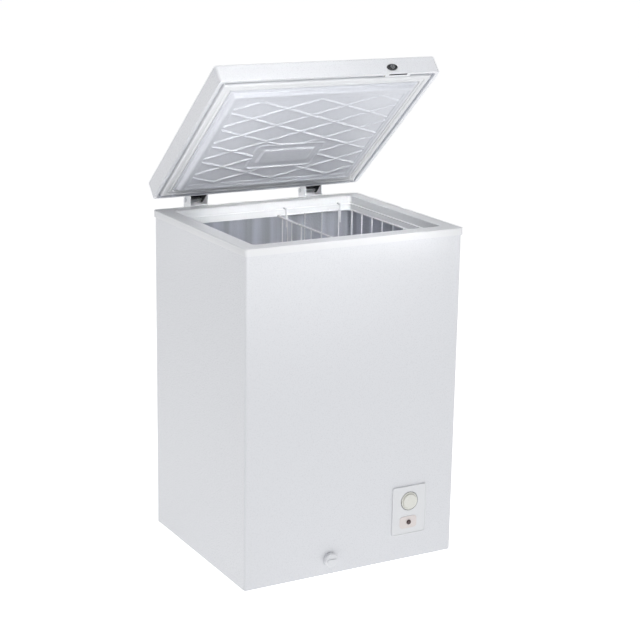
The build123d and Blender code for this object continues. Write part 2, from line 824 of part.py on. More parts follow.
def lid_dish():
    """The shallow recess in the plug's underside. What is left round it is the ridge."""
    outline = RectangleRounded(2 * dish_half_x, 2 * dish_half_y, 6)
    plane = Plane(origin=(0, 0, panel_level), x_dir=(1, 0, 0), z_dir=(0, 0, -1))
    return extrude(plane * outline, ridge_drop + 0.1, taper=-dish_taper)


def plug_core():
    """The foam side of the plug."""
    core = plug_step(liner_sheet, ledge_level + liner_sheet, seal_root + liner_sheet)
    return core + plug_taper_block(liner_sheet, panel_level + liner_sheet, ledge_level + liner_sheet)


def rib_lattice():
    """The crossing ribs of the lid's lining, kept off the label pad."""
    half_x, half_y = 212.5, 171.0
    length = 900.0
    slope = rib_pitch_y / 2 / rib_pitch_x
    angle = Vector(1, slope).get_angle(Vector(1, 0))
    lattice = None
    for i in range(-7, 8):
        for sign in (-1, 1):
            middle_y = rib_phase + rib_pitch_y * i
            bar = Pos(0, middle_y) * Rot(0, 0, sign * angle) * Rectangle(length, rib_width)
            lattice = bar if lattice is None else lattice + bar
    lattice &= Rectangle(2 * half_x, 2 * half_y)
    lattice -= Pos(0, pad_centre_y) * RectangleRounded(pad_width + 8, pad_depth + 8, 8)
    return extrude(Pos(0, 0, panel_level - rib_drop) * lattice, rib_drop + 0.3)


def lid_liner():
    """The moulded plastic lining: seal channel, ledge, ridge, dished panel, ribs and label pad."""
    flange_level = lid_bottom + sheet
    low = panel_level - ridge_drop
    liner = lid_slab(flange_inset, flange_level, flange_level + 1.5)
    liner += seal_channel(liner_sheet, flange_level, seal_root + liner_sheet)
    liner -= seal_channel(0, flange_level - 1, seal_root)
    liner += plug_step(0, ledge_level, seal_root + liner_sheet)
    liner += plug_taper_block(0, low, ledge_level)
    liner -= plug_core()
    liner -= lid_dish()
    pad = Pos(0, pad_centre_y, 0) * (
        slab(pad_width / 2, pad_depth / 2, 7, low, panel_level + 0.3)
        - slab(pad_width / 2 - 6, pad_depth / 2 - 6, 4, low - 1, panel_level + 1)
        + slab(plate_width / 2, plate_depth / 2, 5, low, panel_level + 0.3)
    )
    liner += pad
    liner += rib_lattice()
    return liner - block((136, -245, lid_bottom), (202, -229.7, lid_bottom + 5))


def lid_foam():
    roof = seal_root + liner_sheet
    foam = lid_slab(sheet + 0.1, lid_bottom + sheet + 1.5, lid_top - 4)
    foam += slab(lid_width / 2 - 5, 236, 6, lid_top - 5, lid_top - sheet)
    foam -= seal_channel(liner_sheet, 0, roof)
    foam += plug_core()
    foam -= block((136, -245, lid_bottom), (202, -229.7, 834.5))
    for hole in lid_screw_holes():
        foam -= hole
    return foam


def lid_gasket():
    inner_x, inner_y = seal_outer_x - seal_width, seal_outer_y - seal_width
    gasket = slab(seal_outer_x, seal_outer_y, seal_corner, seal_face, seal_root)
    gasket -= slab(inner_x, inner_y, 2, seal_face - 1, seal_root + 1)
    middle_x, middle_y = seal_outer_x - seal_width / 2, seal_outer_y - seal_width / 2
    groove = slab(middle_x + 1.5, middle_y + 1.5, 3, seal_face - 1, seal_face + 1)
    groove -= slab(middle_x - 1.5, middle_y - 1.5, 2, seal_face - 2, seal_face + 2)
    chamber = slab(middle_x + 7, middle_y + 7, 3, seal_face + 2, seal_face + 8)
    chamber -= slab(middle_x - 7, middle_y - 7, 2, seal_face, seal_face + 10)
    return gasket - groove - chamber


def gasket_magnets():
    x, y = seal_outer_x - seal_width / 2, seal_outer_y - seal_width / 2
    low, high = seal_face + 2.2, seal_face + 6.2
    made = []
    for side in (-1, 1):
        made.append(block((side * x - 5, -y + 12, low), (side * x + 5, y - 12, high)))
        made.append(block((-x + 12, side * y - 5, low), (x - 12, side * y + 5, high)))
    return group(made)


# ---- Lock ----
def lock_housing():
    """The plastic pocket in the lid's foam that the cam turns in."""
    case = block((136.2, lid_front + sheet, lid_bottom + sheet), (201.8, -229.9, 834.3))
    return case - block((138, lid_front, lid_bottom), (200, -231.4, 832.6))


def lock_escutcheon():
    plane = Plane(origin=(lock_x, lid_front, lock_z), x_dir=(1, 0, 0), z_dir=(0, -1, 0))
    cover = extrude(plane * Ellipse(13.7, 8.0), 3.5)
    edge = cover.edges().filter_by_position(Axis.Y, lid_front - 3.6, lid_front - 3.4)
    cover = fillet(edge, 1.5)
    cover += rod((lock_x, lid_front, lock_z), (0, 1, 0), lock_boss, 3.8)
    return cover - rod((lock_x, lid_front - 5, lock_z), (0, 1, 0), 5.5 + running_gap, 12)


def lock_plug():
    plug = rod((lock_x, lid_front - 4.0, lock_z), (0, 1, 0), 5.5, 8.1)
    plug += rod((lock_x, lid_front + 4.1, lock_z), (0, 1, 0), 3.4, 3.6)
    keyway = block((lock_x - 0.8, lid_front - 5, lock_z - 3.5), (lock_x + 0.8, lid_front + 1, lock_z + 3.5))
    return plug - keyway


def lock_cam():
    """A flat lever with a hooked toe. It swings down through the slot to lock."""
    back = cam_front + cam_sheet
    cam = block((lock_x, cam_front, lock_z - 4), (lock_x + cam_reach, back, lock_z + 4))
    cam += rod((lock_x, cam_front, lock_z), (0, 1, 0), 7, cam_sheet)
    cam += block((lock_x + cam_reach - 8, cam_front, lock_z - 12), (lock_x + cam_reach, back, lock_z))
    return cam - rod((lock_x, cam_front - 1, lock_z), (0, 1, 0), 3.45, 5)


def lock_nut():
    nut = extrude(
        Plane(origin=(lock_x, cam_front + cam_sheet + 0.1, lock_z), x_dir=(1, 0, 0), z_dir=(0, 1, 0))
        * RegularPolygon(6, 6),
        2.6,
    )
    return nut - rod((lock_x, cam_front, lock_z), (0, 1, 0), 3.45, 8)


# ---- Basket ----
def basket_rim():
    outline = RectangleRounded(2 * basket_half_x, 2 * basket_half_y, 14).wire()
    ring = Pos(basket_x, 0, basket_rim_z) * outline
    return sweep(Plane(origin=ring @ 0, z_dir=ring % 0) * Circle(rim_wire), path=ring)


def u_wire(start, across, half_span, floor_z):
    """One thin wire down a side of the basket, across its floor and up the other side."""
    ends = [
        Vector(*start) - Vector(*across) * half_span,
        Vector(*start) + Vector(*across) * half_span,
    ]
    drop = Vector(0, 0, basket_rim_z + 1.5 - floor_z)
    return pipe([ends[0] + drop, ends[0], ends[1], ends[1] + drop], 12, thin_wire)


def basket_wires():
    inset = rim_wire + thin_wire + 0.02
    wires = []
    for i in range(4):
        x = basket_x + wire_pitch * (i - 1.5)
        wires.append(u_wire((x, 0, basket_floor_z), (0, 1, 0), basket_half_y - inset, basket_floor_z))
    low = basket_floor_z - 2 * thin_wire - 0.02
    for i in range(8):
        y = wire_pitch * (i - 3.5)
        wires.append(u_wire((basket_x, y, low), (1, 0, 0), basket_half_x - inset, low))
    return group(wires)


def basket_hooks():
    made = []
    for x in (basket_x - 72 - 3.6, basket_x + 72 + 3.6):
        for side in (-1, 1):
            inner = basket_half_y - rim_wire - hook_wire - 0.02
            high = ledge_top + hook_wire + 0.3
            points = [
                (x, side * inner, basket_rim_z - 30),
                (x, side * inner, high),
                (x, side * (mouth_half_y - 1.2), high),
            ]
            made.append(pipe(points, 4.2, hook_wire))
    return group(made)


def swing_open(shape):
    """Turns a piece of the lid from shut to ajar, about the hinge pins."""
    return Pos(0, pivot_y, pivot_z) * Rot(-lid_open_angle, 0, 0) * Pos(0, -pivot_y, -pivot_z) * shape


cabinet_pieces = {
    "outer_wrap": outer_wrap,
    "rear_panel": rear_panel,
    "base_pan": base_pan,
    "compressor_tray": compressor_tray,
    "cabinet_foam": cabinet_foam,
    "tub_liner": tub_liner,
    "tub_bottom": tub_bottom,
    "top_frame": top_frame,
    "lock_keeper": lock_keeper,
    "feet": feet,
    "evaporator_coil": lambda: evaporator_tube(4.0),
    "condenser_coil": lambda: condenser_tube(2.4),
    "compressor": compressor_body,
    "compressor_mount": compressor_mount,
    "compressor_grommets": compressor_grommets,
    "compressor_bolts": compressor_bolts,
    "terminal_cover": terminal_cover,
    "start_capacitor": start_capacitor,
    "suction_pipe": suction_pipe,
    "discharge_pipe": discharge_pipe,
    "filter_drier": filter_drier,
    "capillary_tube": capillary_tube,
    "compressor_cover": compressor_cover,
    "cover_screws": cover_screws,
    "cord_gland": cord_gland,
    "side_vent": side_vent,
    "control_bezel": control_bezel,
    "thermostat_knob": thermostat_knob,
    "thermostat_shaft": thermostat_shaft,
    "thermostat_body": thermostat_body,
    "sensor_tube": sensor_tube,
    "indicator_plate": indicator_plate,
    "indicator_lens": indicator_lens,
    "lamp_holder": lamp_holder,
    "wiring_harness": wiring_harness,
    "drain_tube": drain_tube,
    "drain_cap": drain_cap,
    "drain_plug": drain_plug,
    "hinge_base_left": lambda: hinge_base(-hinge_x),
    "hinge_base_right": lambda: hinge_base(hinge_x),
    "hinge_pins": lambda: group(both_hinges(hinge_pin)),
    "hinge_springs": lambda: group(both_hinges(hinge_spring)),
    "hinge_base_screws": hinge_base_screws,
    "basket_rim": basket_rim,
    "basket_wires": basket_wires,
    "basket_hooks": basket_hooks,
}

lid_pieces = {
    "lid_shell": lid_shell,
    "lid_foam": lid_foam,
    "lid_liner": lid_liner,
    "lid_gasket": lid_gasket,
    "gasket_magnets": gasket_magnets,
    "hinge_arm_left": lambda: hinge_arm(-hinge_x),
    "hinge_arm_right": lambda: hinge_arm(hinge_x),
    "hinge_arm_screws": hinge_arm_screws,
    "lock_housing": lock_housing,
    "lock_escutcheon": lock_escutcheon,
    "lock_plug": lock_plug,
    "lock_cam": lock_cam,
    "lock_nut": lock_nut,
}

os.makedirs("parts", exist_ok=True)
to_origin = Pos(0, -origin_y, 0)
for name, make in cabinet_pieces.items():
    export_step(to_origin * make(), f"parts/{name}.step")
for name, make in lid_pieces.items():
    export_step(to_origin * swing_open(make()), f"parts/{name}.step")
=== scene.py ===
import json
from math import pi, radians

import bpy
import numpy as np
from mathutils import Matrix, Vector


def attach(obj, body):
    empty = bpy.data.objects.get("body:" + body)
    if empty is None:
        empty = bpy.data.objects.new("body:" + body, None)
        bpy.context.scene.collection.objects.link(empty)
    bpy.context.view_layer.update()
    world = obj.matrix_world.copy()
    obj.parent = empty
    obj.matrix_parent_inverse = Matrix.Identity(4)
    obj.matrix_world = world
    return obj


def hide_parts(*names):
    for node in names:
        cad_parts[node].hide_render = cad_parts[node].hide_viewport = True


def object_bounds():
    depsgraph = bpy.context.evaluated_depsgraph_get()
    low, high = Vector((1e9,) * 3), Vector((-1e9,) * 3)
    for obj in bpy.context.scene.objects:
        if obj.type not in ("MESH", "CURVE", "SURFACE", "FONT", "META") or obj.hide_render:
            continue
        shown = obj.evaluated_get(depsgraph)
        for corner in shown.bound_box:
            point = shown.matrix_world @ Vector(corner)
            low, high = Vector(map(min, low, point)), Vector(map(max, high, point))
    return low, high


# A small chest freezer, lid ajar, dressed round its CAD frame. The frame is in metres;
# the lengths named here are in millimetres, and MM turns them into metres.
MM = 0.001

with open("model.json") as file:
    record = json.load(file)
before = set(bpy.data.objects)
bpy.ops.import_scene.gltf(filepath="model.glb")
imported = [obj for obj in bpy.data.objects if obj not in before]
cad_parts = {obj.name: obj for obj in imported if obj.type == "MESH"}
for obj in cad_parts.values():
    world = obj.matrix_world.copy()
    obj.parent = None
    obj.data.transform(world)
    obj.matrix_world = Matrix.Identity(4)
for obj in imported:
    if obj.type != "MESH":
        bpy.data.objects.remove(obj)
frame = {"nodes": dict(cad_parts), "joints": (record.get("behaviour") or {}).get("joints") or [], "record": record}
cad_low, cad_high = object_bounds()
nodes = frame["nodes"]
record = frame["record"]
joints = {joint["name"]: joint for joint in frame["joints"]}


# ---- Where things are ----
def lid_turn(angle):
    """The matrix that turns the lid about its hinge pins, in degrees: positive opens it."""
    pivot = Vector(joints["lid_hinge"]["pos_m"])
    axis = Vector(joints["lid_hinge"]["axis"])
    turn = Matrix.Rotation(radians(angle), 4, axis)
    return Matrix.Translation(pivot) @ turn @ Matrix.Translation(-pivot)


shut_angle = joints["lid_hinge"]["range_deg"][0]
to_ajar = lid_turn(-shut_angle)
to_shut = lid_turn(shut_angle)


def shut_box(node):
    """A lid node's lowest and highest corners with the lid shut, in millimetres."""
    points = [to_shut @ v.co for v in nodes[node].data.vertices]
    low = [min(p[i] for p in points) / MM for i in range(3)]
    high = [max(p[i] for p in points) / MM for i in range(3)]
    return Vector(low), Vector(high)


# ---- Materials ----
class Finish:
    """A node material: a shader, and layers of colour, roughness and relief on it."""

    def __init__(self, slot, colour, roughness, **extra):
        self.material = bpy.data.materials.new(slot)
        self.material.use_nodes = True
        self.tree = self.material.node_tree
        self.shader = self.tree.nodes["Principled BSDF"]
        self.set("Base Color", (*colour, 1.0))
        self.set("Roughness", roughness)
        self.colour = colour
        for name, value in extra.items():
            self.set(name.replace("_", " ").capitalize(), value)
        self.place = self.tree.nodes.new("ShaderNodeTexCoord").outputs["Object"]
        self.normal = None

    def set(self, name, value):
        names = {socket.name.lower(): socket for socket in self.shader.inputs}
        names[name.lower()].default_value = value

    def stretched(self, x, y, z):
        """Object coordinates scaled along each axis."""
        mapping = self.tree.nodes.new("ShaderNodeMapping")
        mapping.inputs["Scale"].default_value = (x, y, z)
        self.tree.links.new(self.place, mapping.inputs["Vector"])
        return mapping.outputs["Vector"]

    def noise(self, size, detail=3.0, where=None):
        """Soft noise whose features are about size millimetres across."""
        node = self.tree.nodes.new("ShaderNodeTexNoise")
        node.inputs["Scale"].default_value = 1 / (size * MM)
        node.inputs["Detail"].default_value = detail
        self.tree.links.new(where or self.place, node.inputs["Vector"])
        return node.outputs["Fac"]

    def cells(self, size, output="Distance", feature="F1"):
        node = self.tree.nodes.new("ShaderNodeTexVoronoi")
        node.feature = feature
        node.inputs["Scale"].default_value = 1 / (size * MM)
        self.tree.links.new(self.place, node.inputs["Vector"])
        return node.outputs[output]

    def ranged(self, value, low, high, from_low=0.0, from_high=1.0):
        node = self.tree.nodes.new("ShaderNodeMapRange")
        node.inputs["From Min"].default_value = from_low
        node.inputs["From Max"].default_value = from_high
        node.inputs["To Min"].default_value = low
        node.inputs["To Max"].default_value = high
        self.tree.links.new(value, node.inputs["Value"])
        return node.outputs["Result"]

    def tint(self, value, dark, light):
        """Colour that runs from dark to light as value goes from 0 to 1."""
        node = self.tree.nodes.new("ShaderNodeMix")
        node.data_type = "RGBA"
        node.inputs["A"].default_value = (*dark, 1.0)
        node.inputs["B"].default_value = (*light, 1.0)
        self.tree.links.new(value, node.inputs["Factor"])
        self.tree.links.new(node.outputs["Result"], self.shader.inputs["Base Color"])

    def mottle(self, size, amount):
        """Soft patches a little darker than the colour."""
        dark = [c * (1 - amount) for c in self.colour]
        light = [min(1.0, c * (1 + amount * 0.4)) for c in self.colour]
        self.tint(self.ranged(self.noise(size), 0, 1, 0.3, 0.7), dark, light)

    def gloss(self, value, low, high):
        self.tree.links.new(self.ranged(value, low, high, 0.25, 0.75), self.shader.inputs["Roughness"])

    def relief(self, value, depth):
        """Bumps of a given depth in millimetres, added to those already there."""
        node = self.tree.nodes.new("ShaderNodeBump")
        node.inputs["Distance"].default_value = depth * MM
        self.tree.links.new(value, node.inputs["Height"])
        if self.normal is not None:
            self.tree.links.new(self.normal, node.inputs["Normal"])
        self.normal = node.outputs["Normal"]
        self.tree.links.new(self.normal, self.shader.inputs["Normal"])


def coated_steel(slot, colour, roughness=0.28, coat=0.35):
    """Pre-painted sheet: a gloss coat with a faint orange peel."""
    made = Finish(slot, colour, roughness, coat_weight=coat, coat_roughness=0.12)
    made.mottle(1.4, 0.012)
    made.gloss(made.noise(2.5), roughness - 0.03, roughness + 0.04)
    made.relief(made.noise(2.4, 2), 0.0012)
    return made.material


def moulded_plastic(slot, colour, roughness=0.38, grain=0.02, coat=0.0):
    """Injection-moulded plastic with a fine spark-eroded grain."""
    made = Finish(slot, colour, roughness, coat_weight=coat, coat_roughness=0.1)
    made.mottle(1.2, 0.015)
    made.gloss(made.noise(3), roughness - 0.05, roughness + 0.06)
    made.relief(made.cells(0.7), grain * 0.5)
    return made.material


def formed_plastic(slot, colour):
    """Vacuum-formed sheet: satin, with a faint mottle and ripple."""
    made = Finish(slot, colour, 0.34, specular_ior_level=0.5)
    made.tint(
        made.ranged(made.noise(9), 0, 1, 0.3, 0.7),
        [c * 0.97 for c in colour],
        [min(1.0, c * 1.01) for c in colour],
    )
    made.gloss(made.noise(25), 0.28, 0.40)
    made.relief(made.noise(6, 2), 0.012)
    made.relief(made.noise(1.1, 1), 0.005)
    return made.material


def stucco_aluminium(slot, colour):
    """Aluminium sheet rolled with a fine pebbled stucco pattern, with faint upright roll streaks."""
    made = Finish(slot, colour, 0.42, metallic=0.6)
    pebbles = made.cells(3.4, feature="SMOOTH_F1")
    streaks = made.noise(22, 2, made.stretched(1, 1, 0.06))
    made.tint(
        made.ranged(streaks, 0, 1, 0.35, 0.65),
        [c * 0.84 for c in colour],
        [min(1.0, c * 1.10) for c in colour],
    )
    made.gloss(made.noise(5, 2), 0.34, 0.52)
    made.relief(pebbles, 0.5)
    made.relief(made.noise(2.2, 2), 0.35)
    return made.material


def plated_steel(slot, colour, spangle=6.0):
    """Zinc-plated steel: pale crystals in slightly different greys."""
    made = Finish(slot, colour, 0.36, metallic=1.0)
    patch = made.cells(spangle, output="Color")
    grey = made.tree.nodes.new("ShaderNodeRGBToBW")
    made.tree.links.new(patch, grey.inputs["Color"])
    made.tint(grey.outputs["Val"], [c * 0.88 for c in colour], [min(1.0, c * 1.08) for c in colour])
    made.gloss(made.noise(4), 0.28, 0.46)
    made.relief(made.noise(1.6, 2), 0.01)
    return made.material


def turned_steel(slot, colour, roughness=0.25):
    """Bright steel with fine tool marks."""
    made = Finish(slot, colour, roughness, metallic=1.0)
    made.mottle(3, 0.08)
    made.gloss(made.noise(1.5, 2), roughness - 0.06, roughness + 0.10)
    made.relief(made.noise(0.35, 1, made.stretched(1, 1, 0.1)), 0.006)
    return made.material


def rubber(slot, colour, roughness=0.62):
    made = Finish(slot, colour, roughness, specular_ior_level=0.35)
    made.mottle(8, 0.10)
    made.gloss(made.noise(5), roughness - 0.08, roughness + 0.10)
    made.relief(made.noise(0.9, 2), 0.03)
    return made.material


def foam(slot, colour):
    """Rigid foam: open bubbles under a thin skin."""
    made = Finish(slot, colour, 0.85)
    made.mottle(18, 0.10)
    made.relief(made.cells(1.6), 0.5)
    made.relief(made.noise(9), 0.6)
    return made.material


def copper_tube(slot, colour):
    """Drawn copper, dulled to brown in patches."""
    made = Finish(slot, colour, 0.30, metallic=1.0)
    made.tint(made.ranged(made.noise(14), 0, 1, 0.35, 0.7), [c * 0.62 for c in colour], colour)
    made.gloss(made.noise(6), 0.22, 0.48)
    made.relief(made.noise(0.8, 2), 0.01)
    return made.material


def dipped_wire(slot, colour):
    """Wire with a thick glossy white dip that pools a little."""
    made = Finish(slot, colour, 0.22, coat_weight=0.4, coat_roughness=0.06)
    made.mottle(12, 0.02)
    made.gloss(made.noise(8), 0.17, 0.30)
    made.relief(made.noise(5, 1), 0.08)
    return made.material


def vinyl(slot, colour):
    made = Finish(slot, colour, 0.44, specular_ior_level=0.4)
    made.mottle(40, 0.02)
    made.gloss(made.noise(10), 0.38, 0.52)
    made.relief(made.noise(1.2, 2), 0.02)
    made.relief(made.noise(45, 1), 0.05)
    return made.material


def lamp_red(slot, colour):
    made = Finish(slot, colour, 0.12, coat_weight=0.6, coat_roughness=0.03)
    made.tint(made.ranged(made.cells(1.6), 0, 1, 0.1, 0.6), [c * 0.5 for c in colour], colour)
    made.relief(made.cells(1.2), 0.05)
    return made.material


def chrome(slot, colour):
    made = Finish(slot, colour, 0.12, metallic=1.0)
    made.mottle(6, 0.05)
    made.gloss(made.noise(3), 0.08, 0.20)
    made.relief(made.noise(0.6, 1), 0.003)
    return made.material


white_steel = (0.775, 0.785, 0.81)
FINISHES = {
    "cabinet_paint": coated_steel("cabinet_paint", white_steel),
    "bracket_paint": coated_steel("bracket_paint", (0.80, 0.81, 0.83), 0.34),
    "cover_paint": coated_steel("cover_paint", (0.77, 0.78, 0.80), 0.42),
    "compressor_paint": coated_steel("compressor_paint", (0.03, 0.03, 0.034), 0.40),
    "coil_tube": coated_steel("coil_tube", (0.26, 0.27, 0.29), 0.45),
    "lid_paint": coated_steel("lid_paint", (0.775, 0.785, 0.81)),
    # Painted shade: the hinge arms are near black so that the windows in the hinges stay dark, standing in for the
    # shade inside them.
    "arm_paint": coated_steel("arm_paint", (0.02, 0.02, 0.023), 0.6, 0.0),
    "zinc_steel": plated_steel("zinc_steel", (0.60, 0.61, 0.63)),
    "screw_steel": turned_steel("screw_steel", (0.62, 0.63, 0.65)),
    "spring_steel": turned_steel("spring_steel", (0.80, 0.81, 0.83), 0.30),
    "insulation_foam": foam("insulation_foam", (0.86, 0.78, 0.52)),
    "stucco_aluminium": stucco_aluminium("stucco_aluminium", (0.52, 0.54, 0.60)),
    "frame_plastic": moulded_plastic("frame_plastic", (0.80, 0.808, 0.82), 0.34),
    "foot_plastic": moulded_plastic("foot_plastic", (0.06, 0.06, 0.065), 0.6, 0.05),
    "black_plastic": moulded_plastic("black_plastic", (0.02, 0.02, 0.022), 0.5, 0.04),
    "vent_plastic": moulded_plastic("vent_plastic", (0.78, 0.79, 0.81), 0.45),
    "bezel_plastic": moulded_plastic("bezel_plastic", (0.81, 0.82, 0.835), 0.34),
    "knob_plastic": moulded_plastic("knob_plastic", (0.80, 0.80, 0.74), 0.30, 0.01, 0.2),
    "badge_plastic": moulded_plastic("badge_plastic", (0.80, 0.735, 0.715), 0.32, 0.01, 0.2),
    "drain_plastic": moulded_plastic("drain_plastic", (0.80, 0.81, 0.83), 0.34),
    "lock_black": moulded_plastic("lock_black", (0.025, 0.025, 0.028), 0.22, 0.01, 0.4),
    "black_rubber": rubber("black_rubber", (0.022, 0.022, 0.022)),
    "magnet_strip": rubber("magnet_strip", (0.06, 0.05, 0.045), 0.75),
    "copper": copper_tube("copper", (0.78, 0.42, 0.26)),
    "indicator_red": lamp_red("indicator_red", (0.045, 0.006, 0.007)),
    "basket_coat": dipped_wire("basket_coat", (0.82, 0.83, 0.85)),
    "lid_lining_plastic": formed_plastic("lid_lining_plastic", (0.67, 0.685, 0.73)),
    "seal_vinyl": vinyl("seal_vinyl", (0.76, 0.77, 0.785)),
    "lock_chrome": chrome("lock_chrome", (0.72, 0.72, 0.74)),
}


def paint_frame():
    """Gives every CAD node the finish of its material slot."""
    for part in record["subparts"]:
        piece = nodes[part["node"]]
        piece.data.materials.clear()
        piece.data.materials.append(FINISHES[part["material_slot"]])


# ---- Building meshes ----
def add_mesh(name, points, faces, slot, matrix=Matrix.Identity(4)):
    """A smooth-shaded piece from points in millimetres."""
    mesh = bpy.data.meshes.new(name)
    mesh.from_pydata([matrix @ (Vector(p) * MM) for p in points], [], faces)
    mesh.materials.append(FINISHES[slot])
    mesh.shade_smooth()
    piece = bpy.data.objects.new(name, mesh)
    bpy.context.scene.collection.objects.link(piece)
    return piece


def mitred_loop(half_x, half_y, centre_y, bevel):
    """Three points at each corner of a rectangle, each with the way it moves as the rectangle grows."""
    loop = []
    for side_x, side_y in [(1, 1), (-1, 1), (-1, -1), (1, -1)]:
        before = (bevel, 0) if side_x != side_y else (0, bevel)
        after = (0, bevel) if side_x != side_y else (bevel, 0)
        for back_x, back_y in (before, (0, 0), after):
            x, y = side_x * (half_x - back_x), side_y * (half_y - back_y)
            loop.append((x, y + centre_y, side_x, side_y))
    return loop


def ring_faces(around, across):
    """Quads over a closed tube of points, stored one section after another."""
    faces = []
    for i in range(around):
        here, there = i * across, (i + 1) % around * across
        for j in range(across):
            k = (j + 1) % across
            faces.append((here + j, here + k, there + k, there + j))
    return faces


# ---- The lid's seal ----
seal_low, seal_high = shut_box("lid_gasket")
seal_width = 22.0
seal_middle_y = (seal_low.y + seal_high.y) / 2
seal_half_x = (seal_high.x - seal_low.x) / 2
seal_half_y = (seal_high.y - seal_low.y) / 2
seal_bevel = 2.5


def seal_profile():
    """The seal's section, from its outer root round the two lobes of its face to its inner root."""
    height = seal_high.z - seal_low.z
    outer = [(11.0, height), (11.0, 8.8), (9.6, 8.0), (9.6, 7.2), (11.0, 6.2), (11.0, 4.6), (10.6, 2.6)]
    face = [(9.6, 0.9), (8.2, 0.1), (0.0, 0.0), (-1.6, 0.3), (-2.6, 1.8), (-3.4, 2.2), (-4.2, 1.6)]
    inner = [(-5.0, 0.5), (-6.4, 0.2), (-9.4, 0.3), (-10.5, 1.2), (-11.0, 2.8), (-11.0, height)]
    return outer + face + inner


def make_seal():
    middle = seal_width / 2
    loop = mitred_loop(seal_half_x - middle, seal_half_y - middle, seal_middle_y, seal_bevel)
    points = [
        (x + way_x * d, y + way_y * d, seal_low.z + z)
        for x, y, way_x, way_y in loop
        for d, z in seal_profile()
    ]
    faces = ring_faces(len(loop), len(seal_profile()))
    piece = add_mesh("lid_seal", points, faces, "seal_vinyl", to_ajar)
    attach(piece, "lid")
    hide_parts("lid_gasket")


# ---- The lid's formed lining ----
lining_low = shut_box("lid_liner")[0]
lining_sheet = 1.2
ridge_drop = 3.0
border_drop = 1.5
crest_level = lining_low.z
panel_level = crest_level + ridge_drop
channel_depth = seal_high.z - crest_level
crest_inset = 37.5
crest_half_x, crest_half_y = seal_half_x - crest_inset, seal_half_y - crest_inset
crest_corner = 6.0
ridge_fall = 6.0
field_half_x, field_half_y = 214.5, 172.5
rib_pitch_x, rib_pitch_y = 76.0, 66.9
rib_phase = 32.5
rib_base = 7.6
rib_height = 3.0
rib_end_x, rib_end_y = 213.0, 171.5
pad_y = 66.0
pad_ring = (86.5, 48.5)
pad_plate = (67.0, 27.5)
pad_base = 7.0
lock_bay = (132.5, 205.5)
bay_reach = crest_inset + 0.1
bay_squeeze = 0.01
edge_band, edge_lines = 20.0, 18
lines_per_rib_x, lines_per_rib_y = 24, 48


def bell(distance, base):
    """1 at the middle of a rib, falling smoothly to 0 at half its base width."""
    t = np.clip(np.abs(distance) / (base / 2), 0, 1)
    return 0.5 + 0.5 * np.cos(pi * t)


def box_distance(x, y, half_x, half_y, radius):
    """Signed distance to a rounded rectangle's edge, negative inside."""
    dx = np.abs(x) - (half_x - radius)
    dy = np.abs(y) - (half_y - radius)
    outside = np.hypot(np.maximum(dx, 0), np.maximum(dy, 0))
    return outside + np.minimum(np.maximum(dx, dy), 0) - radius


def step_up(distance, width):
    """0 outside an edge, 1 inside it, eased over a width centred on the edge."""
    t = np.clip(0.5 - distance / width, 0, 1)
    return t * t * (3 - 2 * t)


def lining_rise(x, y):
    """How far the lining stands out from its panel at points about the lid's centre."""
    slope = rib_pitch_y / 2 / rib_pitch_x
    lean = 1 / np.hypot(1, slope)
    ribs = np.zeros_like(x)
    for side in (-1, 1):
        offset = (y - rib_phase - side * slope * x) / rib_pitch_y
        distance = (offset - np.round(offset)) * rib_pitch_y * lean
        ribs = np.maximum(ribs, bell(distance, rib_base))
    ribs *= step_up(box_distance(x, y, rib_end_x, rib_end_y, 6), 7)
    ring = box_distance(x, y - pad_y, *pad_ring, 9)
    ribs *= step_up(-ring - 1, 4)
    plate = step_up(box_distance(x, y - pad_y, *pad_plate, 6), 5)
    rise = rib_height * np.maximum(ribs, np.maximum(bell(ring, pad_base), plate))
    edge = box_distance(x, y, crest_half_x, crest_half_y, crest_corner)
    field = box_distance(x, y, field_half_x, field_half_y, 5)
    ridge = (ridge_drop - border_drop) * step_up(-edge - ridge_fall * 0.75, ridge_fall)
    border = border_drop * step_up(-field, 3)
    return np.maximum(rise, ridge + border)


def grid_lines(half, pitch, phase):
    """Even lines in step with the ribs, with closer ones next to the ridge."""
    first = half - edge_band
    count_low, count_high = np.ceil((-first - phase) / pitch), np.floor((first - phase) / pitch)
    inner = np.arange(count_low, count_high + 1) * pitch + phase
    edge = np.linspace(first + 0.4, half, edge_lines)
    return np.concatenate([-edge[::-1], inner, edge])


def round_corners(x, y):
    """Moves grid points in a sharp corner onto the quarter disc of a rounded one."""
    dx = np.maximum(np.abs(x) - (crest_half_x - crest_corner), 0)
    dy = np.maximum(np.abs(y) - (crest_half_y - crest_corner), 0)
    length = np.maximum(np.hypot(dx, dy), 1e-9)
    shrink = np.where((dx > 0) & (dy > 0), np.maximum(dx, dy) / length, 1.0)
    return (
        np.sign(x) * (np.abs(x) - dx + dx * shrink),
        np.sign(y) * (np.abs(y) - dy + dy * shrink),
    )


def outward(x, y):
    """The way a point on the crest moves as its outline grows without rounding its corners."""
    side_x = (abs(x) > crest_half_x - crest_corner) * (1 if x > 0 else -1)
    side_y = (abs(y) > crest_half_y - crest_corner) * (1 if y > 0 else -1)
    return side_x, side_y


def lining_panel():
    """The panel as a grid that ends on the ridge's crest, and the loop round its border."""
    xs = grid_lines(crest_half_x, rib_pitch_x / lines_per_rib_x, 0.0)
    ys = grid_lines(crest_half_y, rib_pitch_y / lines_per_rib_y, rib_phase)
    x, y = round_corners(*np.meshgrid(xs, ys))
    z = panel_level - lining_rise(x, y)
    points = list(zip(x.ravel(), y.ravel(), z.ravel()))
    wide, deep = len(xs), len(ys)
    faces = [
        (j * wide + i, (j + 1) * wide + i, (j + 1) * wide + i + 1, j * wide + i + 1)
        for j in range(deep - 1)
        for i in range(wide - 1)
    ]
    border = [i for i in range(wide)] + [j * wide + wide - 1 for j in range(1, deep)]
    border += [(deep - 1) * wide + i for i in range(wide - 2, -1, -1)]
    border += [j * wide for j in range(deep - 2, 0, -1)]
    return points, faces, border


